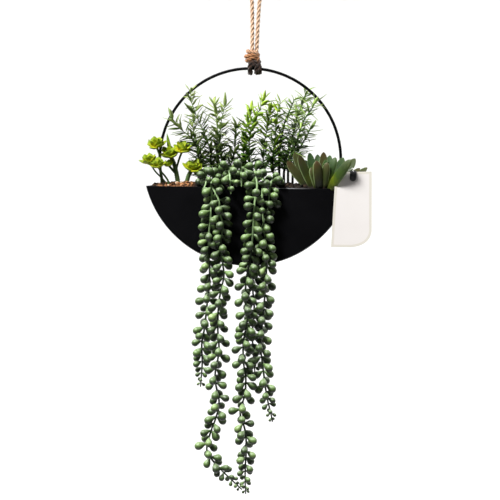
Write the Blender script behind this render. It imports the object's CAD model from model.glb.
import math

import bpy
import numpy as np
from mathutils import Matrix


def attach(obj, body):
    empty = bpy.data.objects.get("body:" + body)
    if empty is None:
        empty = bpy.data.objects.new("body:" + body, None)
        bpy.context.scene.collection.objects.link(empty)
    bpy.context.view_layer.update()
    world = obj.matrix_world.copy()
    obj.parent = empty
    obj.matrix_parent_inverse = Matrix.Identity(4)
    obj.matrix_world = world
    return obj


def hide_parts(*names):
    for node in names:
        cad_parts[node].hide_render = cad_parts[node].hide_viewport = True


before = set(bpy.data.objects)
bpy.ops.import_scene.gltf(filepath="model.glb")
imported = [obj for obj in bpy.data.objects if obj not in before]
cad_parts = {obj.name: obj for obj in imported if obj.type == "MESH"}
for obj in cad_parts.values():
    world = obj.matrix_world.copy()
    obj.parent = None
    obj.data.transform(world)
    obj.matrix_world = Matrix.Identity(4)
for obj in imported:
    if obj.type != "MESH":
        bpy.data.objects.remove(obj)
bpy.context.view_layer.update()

bl_info = {
    "name": "Hanging burro's tail planter",
    "version": (1, 0, 0),
    "blender": (4, 5, 0),
    "location": "View3D > Sidebar > Planter",
    "description": "Dresses the packed planter: hoop, trough, rope, foliage, tag and studio",
    "category": "Object",
}

MM = 0.001

# Driving sizes in mm. The hoop's centre is measured from where the rope bears on its hook.
HOOP_CENTRE = np.array([-5.0, 0.0, -251.0])
HOOP_RADIUS = 125.0
POT_RADIUS = 143.0
HALF_DEPTH = 40.0
RIM = -37.0
SHEET = 1.2
FIT = 0.3
PLATE_FACE = HALF_DEPTH - SHEET / 2
GRIT_BASE = -50.0
STAKE_END = -72.0
BURIED = 39.0  # length of each strand's and sprig's stem below the start of its route
GOLDEN_ANGLE = 2.39996
X_AXIS, Y_AXIS, Z_AXIS = np.eye(3)

# ---------- routes, in mm around the hoop's centre ----------

ROPE_LOOP = [
    [1.6, -0.8, 141], [1.3, -1.6, 151.4], [1.0, -1.3, 160], [0.8, -0.4, 180], [0.2, 0, 205],
    [-0.4, 0, 218], [-1.8, 0, 229], [-5, 0, 238], [-6.2, 0, 244.4], [-4.4, 0, 250.2],
    [-0.4, 0, 253.2], [5, 0, 253.8], [10.4, 0, 253.2], [14.4, 0, 250.2], [16.2, 0, 244.4],
    [15, 0, 238], [12.4, 0, 229], [10.4, 0, 218], [9.4, 0, 205], [8.1, 0.4, 180],
    [7.5, 1.3, 160], [7.2, 1.6, 151.4], [6.6, 0.8, 141],
]

STRANDS = {
    "tail_strand_1": [
        [-34, -20, -33], [-37, -28, -24], [-44, -40, -25], [-49, -49, -33], [-43, -53, -44],
        [-38, -54, -54], [-37, -54, -69], [-32, -54, -88], [-35, -54, -114], [-32, -54, -137],
        [-30, -53, -156], [-34, -50, -175], [-37, -48, -195], [-38, -46, -229],
        [-36, -46, -259], [-41, -46, -295], [-35, -46, -332], [-40, -46, -354],
        [-46, -47, -371], [-51, -48, -394], [-47, -49, -404], [-32, -50, -421],
        [-13, -50, -439], [-2, -50, -449]],
    "tail_strand_2": [
        [-48, -22, -33], [-49, -30, -27], [-49, -41, -29], [-48, -49, -40], [-48, -52, -56],
        [-49, -52, -75], [-51, -52, -102], [-51, -50, -128], [-50, -44, -150],
        [-52, -34, -176], [-55, -28, -203], [-58, -28, -232], [-61, -30, -252],
        [-60, -32, -279], [-61, -32, -297], [-62, -32, -312]],
    "tail_strand_3": [
        [8, -18, -33], [8, -24, -20], [9, -38, -15], [11, -50, -21], [13, -55, -36],
        [11, -55, -49], [9, -55, -74], [8, -55, -100], [6, -55, -126], [1, -54, -155],
        [-1, -52, -185], [2, -50, -213], [-3, -48, -249], [-2, -48, -276], [1, -48, -294],
        [0, -48, -318], [-6, -48, -343], [1, -48, -367], [3, -47, -392], [2, -46, -417],
        [2, -44, -441], [3, -44, -457]],
    "tail_strand_4": [
        [19, -24, -33], [20, -31, -25], [20, -42, -26], [20, -50, -38], [20, -52, -58],
        [22, -53, -81], [25, -53, -113], [27, -52, -149], [26, -48, -171], [24, -44, -197],
        [22, -40, -222], [20, -38, -252], [23, -38, -276], [28, -38, -312], [31, -38, -328],
        [35, -38, -343], [38, -38, -357]],
    "tail_strand_5": [
        [32, -26, -33], [32, -33, -28], [31, -42, -30], [29, -48, -42], [28, -47, -60],
        [19, -45, -96], [15, -45, -130], [10, -42, -150], [8, -30, -175], [10, -24, -202],
        [8, -22, -237], [10, -24, -271], [13, -24, -298]],
    "short_shoot_1": [
        [-63, -24, -33], [-60, -30, -27], [-56, -39, -24], [-55, -49, -29], [-58, -53, -39]],
    "short_shoot_2": [
        [-22, -22, -33], [-24, -27, -18], [-26, -38, -12], [-24, -49, -20], [-23, -53, -34],
        [-22, -53, -46]],
    "short_shoot_3": [
        [-8, -20, -33], [-8, -26, -18], [-9, -38, -12], [-9, -48, -20], [-8, -52, -36]],
}

SPRIGS = {
    "grey_sprig_1": [
        [-54, -6, -33], [-53, -7, -6], [-55, -8, 14], [-62, -8, 34], [-69, -8, 49],
        [-76, -8, 65], [-82, -8, 84], [-81, -8, 95]],
    "grey_sprig_2": [
        [-68, -16, -33], [-69, -16, -6], [-71, -16, 14], [-81, -17, 30], [-91, -18, 38],
        [-99, -18, 45], [-107, -18, 56]],
    "grey_sprig_3": [
        [-72, 6, -33], [-70, 7, -9], [-69, 8, 9], [-75, 9, 25], [-80, 10, 42], [-80, 10, 55]],
    "grey_sprig_4": [
        [-44, 6, -33], [-45, 6, -11], [-47, 7, 14], [-46, 7, 31], [-47, 8, 50],
        [-49, 8, 63], [-51, 8, 78]],
    "grey_sprig_5": [
        [-36, -8, -33], [-38, -8, 4], [-41, -7, 24], [-41, -6, 43], [-38, -6, 61],
        [-35, -6, 74]],
    "grey_sprig_6": [
        [-30, 12, -33], [-28, 12, -10], [-25, 12, 2], [-22, 12, 16], [-21, 12, 32],
        [-20, 12, 48]],
    "lime_sprig_1": [
        [3, -2, -33], [1, -2, -7], [-1, -2, 8], [-1, -2, 26], [1, -2, 42], [6, -3, 56],
        [13, -4, 70], [19, -4, 85]],
    "lime_sprig_2": [
        [-10, 8, -33], [-9, 8, -8], [-9, 9, 16], [-7, 10, 38], [-3, 10, 56], [0, 10, 72]],
    "lime_sprig_3": [
        [18, 10, -33], [18, 10, 0], [19, 10, 22], [22, 10, 40], [26, 10, 58], [28, 10, 76]],
    "lime_sprig_4": [
        [34, -4, -33], [32, -4, -8], [32, -5, 12], [35, -5, 32], [35, -5, 50],
        [37, -5, 64], [41, -5, 80]],
    "green_sprig_1": [
        [41, 2, -33], [40.5, 2, -8], [41, 2, 16], [44, 2, 36], [47, 2, 52], [51, 2, 62],
        [56, 2, 74], [60, 2, 84]],
    "green_sprig_2": [
        [47, 16, -33], [47, 16, -15], [50, 15, 4], [55, 14, 22], [60, 14, 41],
        [63, 14, 57], [69, 13, 72], [73, 12, 86], [77, 12, 96]],
    "green_sprig_3": [
        [53, -4, -33], [53.5, -4, -8], [58, -5, 12], [63.5, -6, 24], [67, -7, 37],
        [71, -8, 50], [77, -9, 61], [84, -10, 71], [89, -11, 81]],
    "green_sprig_4": [
        [59, 10, -33], [60, 10, -8], [65, 10, 12], [72, 10, 24], [79, 10, 37], [84, 9, 48]],
}

# Leaf length and width, bare foot, leaf spacing and stem radius in mm, and the angle in radians
# by which the leaves lean up from a right angle to the stem.
SPRIG_KINDS = {
    "grey": {"length": 20.5, "width": 4.2, "bare": 8, "spacing": 1.15, "lean": 0.55,
             "stem": 1.2},
    "lime": {"length": 19, "width": 5.0, "bare": 16, "spacing": 1.2, "lean": 0.55,
             "stem": 1.3},
    "green": {"length": 20.5, "width": 3.9, "bare": 20, "spacing": 1.05, "lean": 0.5,
              "stem": 2.2},
}

# Head radius and route of the small offshoot on the fourth rosette's stalk.
OFFSHOOT = (7, [[-100.5, -13, -20], [-105, -16, -15], [-110, -19, -9]])
# Stalk radius, head radius and route of each small rosette.
ROSETTES = {
    "rosette_1": (2.1, 12, [
        [-120, -14, -34], [-122, -15, -14], [-123, -16, 4], [-127, -18, 16]]),
    "rosette_2": (1.4, 11, [
        [-113, -24, -34], [-119, -25, -26], [-127, -26, -18], [-135, -27, -6]]),
    "rosette_3": (1.6, 10, [
        [-109, -31, -31], [-113, -32, -24], [-119, -33, -17], [-123, -34, -11]]),
    "rosette_4": (3.8, 12, [
        [-98, -12, -34], [-101, -13, -16], [-104, -14, -5], [-108, -16, 3]]),
    "rosette_5": (1.8, 11.5, [
        [-99.5, -5.5, -34], [-101, -8, -16], [-98, -11, -4], [-94, -15, 6],
        [-91.5, -18, 11]]),
    "rosette_6": (3.7, 11.5, [
        [-85, -20, -34], [-83, -21, -24], [-80, -22, -18], [-77, -24, -14.5]]),
}

# Foot and tip of the one long leaf that stands up out of rosette_4.
UPRIGHT_LEAF = [[-107.5, -15, 6], [-115, -15, 35]]

AGAVE_HEART = [99, -26, -39]
# Tip and width of each leaf of the large rosette, and how olive and red it is.
AGAVE_LEAVES = [
    [52, -30, -1, 11, 0.75], [61, -14, 11, 11, 0.45], [68, -36, 7, 11, 0.6],
    [82, -6, 11, 10, 0.0], [91, -50, 0, 11.5, 0.85], [101, -24, 12, 10, 0.8],
    [93, 8, 9, 10, 0.1], [110, -6, 8, 10, 0.1], [117, -40, 5, 11, 0.15],
    [128, -20, 5, 11, 0.05], [137, -62, 2, 12, 0.3], [144, -20, 4, 11, 0.3],
    [76, 6, 1, 10, 0.0], [106, -46, -2, 10, 0.6], [73, -22, -7, 11, 0.3],
    [98, -12, 4, 8, 0.0], [104, -28, 2, 8, 0.0], [94, -26, -2, 8, 0.0],
    [109, -20, -1, 8, 0.0], [84, -38, -9, 10, 0.5], [160, -32, -8, 8, 0.45],
    [150, -34, -9, 8, 0.6],
]

# Corners of the card in x and z from its lower left, the last two being the ends of its round
# corner, then the point that the round bends towards, the card's middle and its depth.
TAG_OUTLINE = [[113, -115], [117, -14.4], [165, -13.4], [166.7, -92.5], [139, -115]]
TAG_CORNER = [165, -112.5]
TAG_MIDDLE = [140.0, -60.0]
TAG_DEPTH = -44.4
TAG_TIE = [
    [139.5, -42, -16.1], [140.5, -44.4, -16.1], [140.6, -46.4, -12.8], [140.4, -44.4, -9.6],
    [139, -40, -9.6], [136.5, -24, -12], [131.5, -8, -12.6], [128, -1, -13.4],
    [126.6, 2.2, -14.2], [124, 3.3, -15], [121.3, 1.8, -15.8], [120.9, -1.4, -16.4],
    [127, -13, -16.8], [134.5, -28, -16.4],
]
RIBBON = [
    [140.3, -45.6, -26.6], [140.3, -46.9, -21.5], [140.3, -47.2, -17.5],
    [140.3, -46.6, -14.2], [140.3, -45.2, -12.7], [140.3, -43.6, -12.9],
    [140.3, -42.6, -14.6], [140.3, -42.6, -18], [140.3, -43.2, -22],
]

KNOT_CORE = [[3.4, 0, 130], [2, 0, 138], [1.6, 0, 143.5], [2.6, 0, 149.5]]
# Middle, height, tilt, half width, shade and yarn phase of each wrap, from the top down.
KNOT_WRAPS = [
    [1.6, 146.4, -0.26, 6.8, 0.35, 0.0], [0.9, 142.2, 0.12, 8.4, 0.5, 1.3],
    [1.2, 138.3, 0.36, 7.6, 0.66, 2.4], [4.4, 133.4, 0.1, 6.4, 0.92, 0.7],
    [4.6, 129.8, -0.04, 6.2, 1.0, 2.9],
]
# Place, lean, rope radius and yarn phase of each turn that holds the rod.
ROD_TURNS = [[-1.2, 0.6, 3.6, 0.4], [7.3, -0.6, 3.2, 1.9], [11.6, -1.8, 3.2, 3.0]]

# Turn, extra lean and share of its size that a bead tries in this order until it has room.
BEAD_TRIES = [
    [0, 0, 1], [0.4, 0, 1], [-0.4, 0, 1], [0, 0.35, 1], [0.75, 0.1, 1], [-0.75, 0.1, 1],
    [0.4, 0.6, 1], [-0.4, 0.6, 0.95], [1.1, 0.2, 0.9], [-1.1, 0.2, 0.9],
    [0, -0.35, 0.85], [1.5, 0.4, 0.8], [-1.5, 0.4, 0.8],
]
# Least gap in mm from a bead's bulb to the trough, the rod's middle and the next bulb, from a
# neck to a bulb, and from a bulb to another strand's stem and to its own.
WALL_GAP, ROD_GAP, BULB_GAP = 0.2, 2.3, 0.05
NECK_GAP, STEM_GAP, OWN_STEM_GAP = 1.0, 1.3, 0.2

# Leaves, lean, reach and width of each whorl of a small rosette, from the outside in.
WHORLS = [
    [6, 0.32, 1.0, 0.6], [6, 0.74, 0.95, 0.55], [5, 1.08, 0.82, 0.46], [3, 1.35, 0.6, 0.34],
]

# Worn stretch of the trough's front rim, in metres: height, face, left end and right end,
# each from where the wear starts to where it is full, or from full to where it stops.
WORN_HEIGHT, WORN_FACE = (-0.2895, -0.2886), (-0.0388, -0.0376)
WORN_LEFT, WORN_RIGHT = (0.016, 0.024), (0.03, 0.088)

# The camera's azimuth, elevation and roll in degrees, place in metres and lens in mm.
CAMERA_TURN = [3.0, 4.5, 0.8]
CAMERA_PLACE = [0.07564, -1.50296, -0.25709]
LENS = 78.28


def soil(x, y):
    """Height of the grit: flat heap that falls off at the walls, with waves and one clump."""
    edge = 1 - np.minimum(1, np.abs(y) / 37.5) ** 6
    side = 1 - np.minimum(1, np.abs(x) / 137) ** 10
    waves = 0.9 * np.sin(x / 7.3 + y / 9.1) * np.cos(y / 6.7 - x / 21)
    clump = 3.2 * np.exp(-(((x + 86) / 9) ** 2) - ((y + 26) / 9) ** 2)
    return RIM - 1.6 + edge * side * (5.4 + waves + clump)


def colour(code):
    """Linear colour of an sRGB hex code: c / 12.92 below 0.04045, else a 2.4 power."""
    parts = np.array([int(code[i:i + 2], 16) for i in (0, 2, 4)]) / 255
    linear = np.where(parts < 0.04045, parts / 12.92, ((parts + 0.055) / 1.055) ** 2.4)
    return (*linear.tolist(), 1.0)


# ---------- surfaces ----------

def unit(v):
    """Vectors divided by their lengths."""
    v = np.asarray(v, float)
    return v / np.maximum(np.linalg.norm(v, axis=-1, keepdims=True), 1e-12)


def around(count):
    """Angles spaced evenly over one turn, from 0."""
    return 2 * np.pi * np.arange(count) / count


def swing(first, second, angle):
    """First swung towards second: first cos a + second sin a, for each angle."""
    a = np.asarray(angle)[..., None]
    return first * np.cos(a) + second * np.sin(a)


def squared(value, power):
    """Value raised to a power below 1 with its sign kept, so a circle's sides go flat."""
    return np.sign(value) * np.abs(value) ** power


def grid_of(x, y, z):
    """Points on a grid, from coordinates that broadcast to one another."""
    return np.stack(np.broadcast_arrays(x, y, z), -1)


def rooted(route):
    """A route continued straight down through the grit to the end of its stake."""
    foot = route[0][:2]
    return [[*foot, STAKE_END], [*foot, GRIT_BASE], *route]


def smooth_path(points, spacing, closed=False):
    """Evenly spaced points on the centripetal Catmull-Rom curve through the given points."""
    p = np.asarray(points, float)
    ring = (np.vstack([p[-1:], p, p[:2]]) if closed
            else np.vstack([2 * p[0] - p[1], p, 2 * p[-1] - p[-2]]))
    gap = np.sqrt(np.linalg.norm(np.diff(ring, axis=0), axis=1))[:, None]
    a, b, c = gap[:-2], gap[1:-1], gap[2:]
    x0, x1, x2, x3 = ring[:-3], ring[1:-2], ring[2:-1], ring[3:]
    m1 = ((x1 - x0) / a - (x2 - x0) / (a + b) + (x2 - x1) / b) * b
    m2 = ((x2 - x1) / b - (x3 - x1) / (b + c) + (x3 - x2) / c) * b
    t = np.linspace(0, 1, 20, endpoint=False)[None, :, None]
    x1, x2, m1, m2 = (v[:, None] for v in (x1, x2, m1, m2))
    cubic = (x1 + m1 * t + (3 * (x2 - x1) - 2 * m1 - m2) * t ** 2
             + (2 * (x1 - x2) + m1 + m2) * t ** 3)
    dense = np.vstack([cubic.reshape(-1, 3), p[:1] if closed else p[-1:]])
    reach = np.r_[0, np.cumsum(np.linalg.norm(np.diff(dense, axis=0), axis=1))]
    even = np.linspace(0, reach[-1], max(3, round(reach[-1] / spacing) + 1))
    path = np.stack([np.interp(even, reach, dense[:, k]) for k in range(3)], 1)
    return path[:-1] if closed else path


def path_frames(path, reference, closed=False):
    """Unit tangent T, N = the part of the reference square to T, and B = T x N."""
    if closed:
        tangent = unit(np.roll(path, -1, 0) - np.roll(path, 1, 0))
    else:
        tangent = unit(np.gradient(path, axis=0))
    normal = unit(reference - (tangent @ reference)[:, None] * tangent)
    return tangent, normal, np.cross(tangent, normal)


def grid_faces(rows, columns, closed_rows=False):
    """Quads between neighbouring rows of a grid whose columns close on themselves."""
    r = np.arange(rows if closed_rows else rows - 1)[:, None]
    c = np.arange(columns)[None, :]
    r2, c2 = (r + 1) % rows, (c + 1) % columns
    return np.stack([r * columns + c, r * columns + c2, r2 * columns + c2, r2 * columns + c],
                    -1).reshape(-1, 4)


def closed_grid(grid, closed_rows=False):
    """Points, quads and triangles of a grid of rings, each end drawn to its middle point."""
    rows, columns, _ = grid.shape
    quads = grid_faces(rows, columns, closed_rows)
    points = grid.reshape(-1, 3)
    if closed_rows:
        return points, quads, np.zeros((0, 3), int)
    ends = np.stack([grid[0].mean(0), grid[-1].mean(0)])
    c = np.arange(columns)
    c2 = (c + 1) % columns
    low, high = len(points), len(points) + 1
    last = (rows - 1) * columns
    tris = np.vstack([np.stack([np.full(columns, low), c2, c], 1),
                      np.stack([np.full(columns, high), last + c, last + c2], 1)])
    return np.vstack([points, ends]), quads, tris


def end_values(value, rows, columns, closed_rows=False):
    """A value given per ring point, continued on the two end points of a closed grid."""
    full = np.broadcast_to(np.asarray(value, float), (rows, columns))
    if closed_rows:
        return full.ravel()
    return np.r_[full.ravel(), full[0].mean(), full[-1].mean()]


class Surface:
    """Points, faces and named values per point, gathered in mm for one piece."""

    def __init__(self):
        self.points, self.quads, self.tris, self.values, self.count = [], [], [], {}, 0

    def add(self, points, quads, tris, **values):
        """Takes one closed shell and turns its faces outwards by the sign of its volume."""
        corners = np.vstack([quads[:, [0, 1, 2]], quads[:, [0, 2, 3]], tris])
        a, b, c = (points[corners[:, k]] for k in range(3))
        if np.einsum("ij,ij->", a - points.mean(0), np.cross(b - a, c - a)) < 0:
            quads, tris = quads[:, ::-1], tris[:, ::-1]
        self.points.append(points)
        self.quads.append(quads + self.count)
        self.tris.append(tris + self.count)
        for key, value in values.items():
            full = np.broadcast_to(np.asarray(value, float), len(points))
            self.values.setdefault(key, []).append(full)
        self.count += len(points)

    def rings(self, grid, closed=False, **values):
        """A grid of rings as one shell, with its values given per ring point."""
        points, quads, tris = closed_grid(grid, closed)
        self.add(points, quads, tris, **{key: end_values(value, *grid.shape[:2], closed)
                                         for key, value in values.items()})

    def tube(self, path, radius, sides, reference=X_AXIS, closed=False, **values):
        """Rings around a path: centre + r (N cos a + B sin a), r a number or per ring point."""
        _, normal, other = path_frames(path, reference, closed)
        r = np.asarray(radius, float)
        r = (r[:, None] if r.ndim == 1 else r) * np.ones((len(path), sides))
        ring = swing(normal[:, None], other[:, None], around(sides))
        self.rings(path[:, None] + r[..., None] * ring, closed, **values)

    def scatter(self, template, basis, origins, **values):
        """Copies of a template: origin + basis times the template's columns, for each copy."""
        columns, quads, tris, own = template
        points = np.einsum("mik,pk->mpi", basis, columns) + origins[:, None]
        shift = (np.arange(len(origins)) * len(columns))[:, None, None]
        given = {key: np.repeat(np.broadcast_to(v, len(origins)), len(columns))
                 for key, v in values.items()}
        given.update({key: np.tile(v, len(origins)) for key, v in own.items()})
        self.add(points.reshape(-1, 3), (quads[None] + shift).reshape(-1, 4),
                 (tris[None] + shift).reshape(-1, 3), **given)

    def piece(self, name, material, nodes=(), smooth=True, sharp=None):
        """One mesh object in metres in the row frame, that rides on the root body."""
        points = (np.vstack(self.points) + HOOP_CENTRE) * MM
        quads, tris = np.vstack(self.quads), np.vstack(self.tris)
        corners = np.r_[quads.ravel(), tris.ravel()].astype(np.int32)
        starts = np.r_[4 * np.arange(len(quads)), quads.size + 3 * np.arange(len(tris))]
        mesh = bpy.data.meshes.new(name)
        mesh.vertices.add(len(points))
        mesh.vertices.foreach_set("co", points.astype(np.float32).ravel())
        mesh.loops.add(len(corners))
        mesh.loops.foreach_set("vertex_index", corners)
        mesh.polygons.add(len(starts))
        mesh.polygons.foreach_set("loop_start", starts.astype(np.int32))
        mesh.polygons.foreach_set("use_smooth", np.full(len(starts), smooth))
        mesh.update(calc_edges=True)
        mesh.validate()
        for key, parts in self.values.items():
            attribute = mesh.attributes.new(key, "FLOAT", "POINT")
            attribute.data.foreach_set("value", np.concatenate(parts).astype(np.float32))
        if sharp is not None:
            mesh.set_sharp_from_angle(angle=sharp)
        obj = bpy.data.objects.new(name, mesh)
        bpy.context.scene.collection.objects.link(obj)
        mesh.materials.append(material)
        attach(obj, "root")
        if nodes:
            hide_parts(*nodes)
        return obj


def leaf_template(stations, half_width, half_height, sides, keel=0.0, keep=("along",)):
    """Closed leaf in four columns: across, thickness, length t and bend t squared.

    The ring at t has points (w cos a, h sin a + keel |w cos a|, t, t^2), and both ends are
    points. Of the values along, edge and upper it keeps those that are asked for.
    """
    t = np.asarray(stations, float)
    angle = around(sides)
    w, h = half_width(t)[:, None], half_height(t)[:, None]
    across = w * np.cos(angle)
    thick = h * np.sin(angle) + keel * np.abs(across)
    points, quads, tris = closed_grid(grid_of(across, thick, t[:, None]))
    points[-2:] = [[0, 0, 0], [0, 0, 1]]
    columns = np.column_stack([points, points[:, 2] ** 2])
    edge = np.r_[np.broadcast_to(np.abs(np.cos(angle)), across.shape).ravel(), 0, 0]
    upper = np.r_[np.broadcast_to(np.sin(angle), across.shape).ravel(), 0, 0]
    values = {"along": points[:, 2], "edge": edge, "upper": upper}
    return columns, quads, tris, {key: values[key] for key in keep}


def leaf_basis(across, thick, along, bend):
    """Matrix of each copy whose columns are its across, thickness, length and bend vectors."""
    return np.stack([across, thick, along, bend], -1)


# ---------- materials ----------

class Value:
    """A number that varies over a surface; arithmetic on it adds Math nodes."""

    def __init__(self, paint, socket):
        self.paint, self.socket = paint, socket

    def __add__(self, other):
        return self.paint.maths("ADD", self, other)

    def __sub__(self, other):
        return self.paint.maths("SUBTRACT", self, other)

    def __rsub__(self, other):
        return self.paint.maths("SUBTRACT", other, self)

    def __mul__(self, other):
        return self.paint.maths("MULTIPLY", self, other)

    __radd__ = __add__
    __rmul__ = __mul__

    def clamp(self):
        """The number held between 0 and 1."""
        return self.paint.maths("ADD", self, 0.0, use_clamp=True)

    def step(self, low, high):
        """0 below low, 1 above high, smooth between them."""
        node = self.paint.node("ShaderNodeMapRange", {"interpolation_type": "SMOOTHSTEP"},
                               {0: self, 1: low, 2: high, 3: 0.0, 4: 1.0})
        return Value(self.paint, node.outputs[0])


class Paint:
    """One material's nodes. A colour is a hex code or four linear parts."""

    def __init__(self, name):
        self.material = bpy.data.materials.new(name)
        self.material.use_nodes = True
        self.tree = self.material.node_tree
        self.tree.nodes.clear()

    def node(self, kind, settings=None, sockets=None):
        """Any node: its settings first, then the values or links of its sockets."""
        made = self.tree.nodes.new(kind)
        for key, value in (settings or {}).items():
            if key == "stops":
                ramp = made.color_ramp
                for spare in list(ramp.elements)[1:-1]:
                    ramp.elements.remove(spare)
                for extra in value[1:-1]:
                    ramp.elements.new(extra[0])
                for element, (place, shade) in zip(ramp.elements, value):
                    element.position = place
                    element.color = colour(shade) if isinstance(shade, str) else shade
            else:
                setattr(made, key, value)
        for key, value in (sockets or {}).items():
            socket = made.inputs[key]
            if isinstance(value, Value):
                value = value.socket
            if isinstance(value, str):
                value = colour(value)
            if isinstance(value, bpy.types.NodeSocket):
                self.tree.links.new(value, socket)
            else:
                socket.default_value = value
        return made

    def maths(self, operation, *terms, use_clamp=False):
        """One Math node on numbers or values."""
        node = self.node("ShaderNodeMath", {"operation": operation, "use_clamp": use_clamp},
                         dict(enumerate(terms)))
        return Value(self, node.outputs[0])

    def place(self, scale=(1, 1, 1)):
        """Object coordinates in metres, multiplied by scale."""
        own = self.node("ShaderNodeTexCoord").outputs["Object"]
        return self.node("ShaderNodeMapping", None, {"Vector": own, "Scale": scale}).outputs[0]

    def value(self, name):
        """A named value of the piece's points."""
        node = self.node("ShaderNodeAttribute", {"attribute_name": name})
        return Value(self, node.outputs["Fac"])

    def parts(self, socket):
        """The x, y and z parts of a vector."""
        node = self.node("ShaderNodeSeparateXYZ", None, {0: socket})
        return [Value(self, node.outputs[k]) for k in range(3)]

    def upward(self):
        """Height part of the surface's direction: 1 on top, -1 underneath."""
        return self.parts(self.node("ShaderNodeTexCoord").outputs["Normal"])[2]

    def join(self, x, y, z):
        """A vector of three values."""
        return self.node("ShaderNodeCombineXYZ", None, {0: x, 1: y, 2: z}).outputs[0]

    def noise(self, scale, detail=3.0, roughness=0.5, at=None):
        """Soft noise from 0 to 1, at Object coordinates or at a vector."""
        node = self.node("ShaderNodeTexNoise", None, {
            "Vector": at or self.place(), "Scale": scale, "Detail": detail,
            "Roughness": roughness})
        return Value(self, node.outputs[0])

    def cells(self, scale):
        """Distance to the nearest of scattered points, for pores."""
        node = self.node("ShaderNodeTexVoronoi", None,
                         {"Vector": self.place(), "Scale": scale})
        return Value(self, node.outputs["Distance"])

    def ramp(self, factor, *stops):
        """A colour that runs through the stops, each a place from 0 to 1 and its colour."""
        return self.node("ShaderNodeValToRGB", {"stops": stops}, {0: factor}).outputs[0]

    def mix(self, factor, first, second, blend="MIX"):
        """The first colour at factor 0 and the second, or their blend, at 1."""
        node = self.node("ShaderNodeMix", {"data_type": "RGBA", "blend_type": blend},
                         {0: factor, 6: first, 7: second})
        return node.outputs[2]

    def bump(self, height, distance, strength=1.0):
        """Relief of so many metres where the height goes from 0 to 1."""
        return self.node("ShaderNodeBump", None, {
            "Strength": strength, "Distance": distance, "Height": height}).outputs[0]

    def finish(self, **sockets):
        """The shader; what is constant is set on its own sockets."""
        named = {key.replace("_", " "): value for key, value in sockets.items()}
        shader = self.node("ShaderNodeBsdfPrincipled", None, named)
        self.node("ShaderNodeOutputMaterial", None, {"Surface": shader.outputs[0]})
        return self.material


def powder_coat(name, black, grain):
    """Satin black powder coat: fine orange peel, faint dust, and a worn stretch of front rim.

    The worn stretch is on the top millimetres of the front, right of the middle.
    """
    paint = Paint(name)
    x, y, z = paint.parts(paint.place())
    worn = z.step(*WORN_HEIGHT) * (1 - y.step(*WORN_FACE))
    worn = worn * x.step(*WORN_LEFT) * (1 - x.step(*WORN_RIGHT))
    peel = paint.noise(grain, 2.0, 0.5)
    cloud = paint.noise(22.0, 3.0, 0.6)
    dust = paint.noise(900.0, 2.0, 0.7).step(0.62, 0.8) * cloud
    base = paint.mix(cloud, black, "030305")
    base = paint.mix(worn * (0.5 + 0.5 * cloud), base, "9c9c9e")
    return paint.finish(
        Base_Color=paint.mix(dust * 0.3, base, "1a1a1e"),
        Roughness=0.42 + cloud * 0.16, Specular_IOR_Level=0.08,
        Normal=paint.bump(peel, 0.00012, 0.5))


def rope_fibre(name, jute):
    """Natural twisted jute: pale crests, brown grooves, fibres drawn out along the yarns.

    'groove' is 0 on a yarn's crest and 1 between yarns, 'fibre' and 'reach' are its own
    coordinates around and along, and 'shade' darkens the knot and the turns under it.
    """
    paint = Paint(name)
    groove, shade = paint.value("groove"), paint.value("shade")
    own = paint.join(paint.value("fibre"), paint.value("reach"), shade)
    threads = paint.noise(1.0, 4.0, 0.65, own)
    patches = paint.noise(160.0, 3.0, 0.6)
    light = paint.ramp(threads, (0.25, "a47c5a"), (0.5, jute), (0.75, "d9c2ab"))
    tan = paint.ramp(threads, (0.25, "6e4224"), (0.55, "a06c42"), (0.8, "c99a70"))
    dark = paint.ramp(threads, (0.3, "100906"), (0.6, "24160f"), (0.85, "402e23"))
    base = paint.mix(shade.step(0.1, 0.55), light, tan)
    base = paint.mix(shade.step(0.55, 0.95), base, dark)
    valley = groove.step(0.45, 1.0)
    worn = paint.mix(valley * 0.95, base, paint.mix(0.82, base, "3a2213"))
    spotted = paint.mix(patches.step(0.55, 0.8) * 0.35, worn, "7a4d2c")
    return paint.finish(Base_Color=spotted, Roughness=0.86 + 0.1 * threads,
                        Sheen_Weight=0.25, Specular_IOR_Level=0.2,
                        Normal=paint.bump(threads + (1 - groove) * 0.5, 0.0005, 0.9))


def bead_skin(name, sage):
    """Waxy moulded beads: sage green, bloom on top, nearly black underneath, each its own shade.

    'tone' is the bead's shade, and 'along' runs from its neck and is negative on the stem.
    """
    paint = Paint(name)
    tone, along = paint.value("tone"), paint.value("along")
    mottle = paint.noise(260.0, 3.0, 0.6)
    fine = paint.noise(1500.0, 2.0, 0.5)
    body = paint.ramp(tone * 0.75 + mottle * 0.25, (0.1, "263813"), (0.45, sage),
                      (0.75, "62803f"), (0.95, "91a966"))
    bloom = paint.upward().step(0.1, 0.95) * mottle.step(0.2, 0.7)
    body = paint.mix(bloom * 0.6, body, "b0c49c")
    under = 1 - paint.upward().step(-0.5, 0.75)
    body = paint.mix(under * 0.93, body, "070c05")
    neck = 1 - along.step(0.05, 0.4)
    body = paint.mix(neck * 0.5, body, "456030")
    stem = paint.mix(tone, "1a2612", "8ba674")
    body = paint.mix(along.step(-0.5, -0.2), stem, body)
    return paint.finish(Base_Color=body, Roughness=0.36 + 0.16 * mottle,
                        Specular_IOR_Level=0.45, Subsurface_Weight=0.06,
                        Subsurface_Radius=(0.004, 0.006, 0.002), Subsurface_Scale=0.5,
                        Normal=paint.bump(fine * 0.4 + mottle, 0.00015, 0.6))


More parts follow.
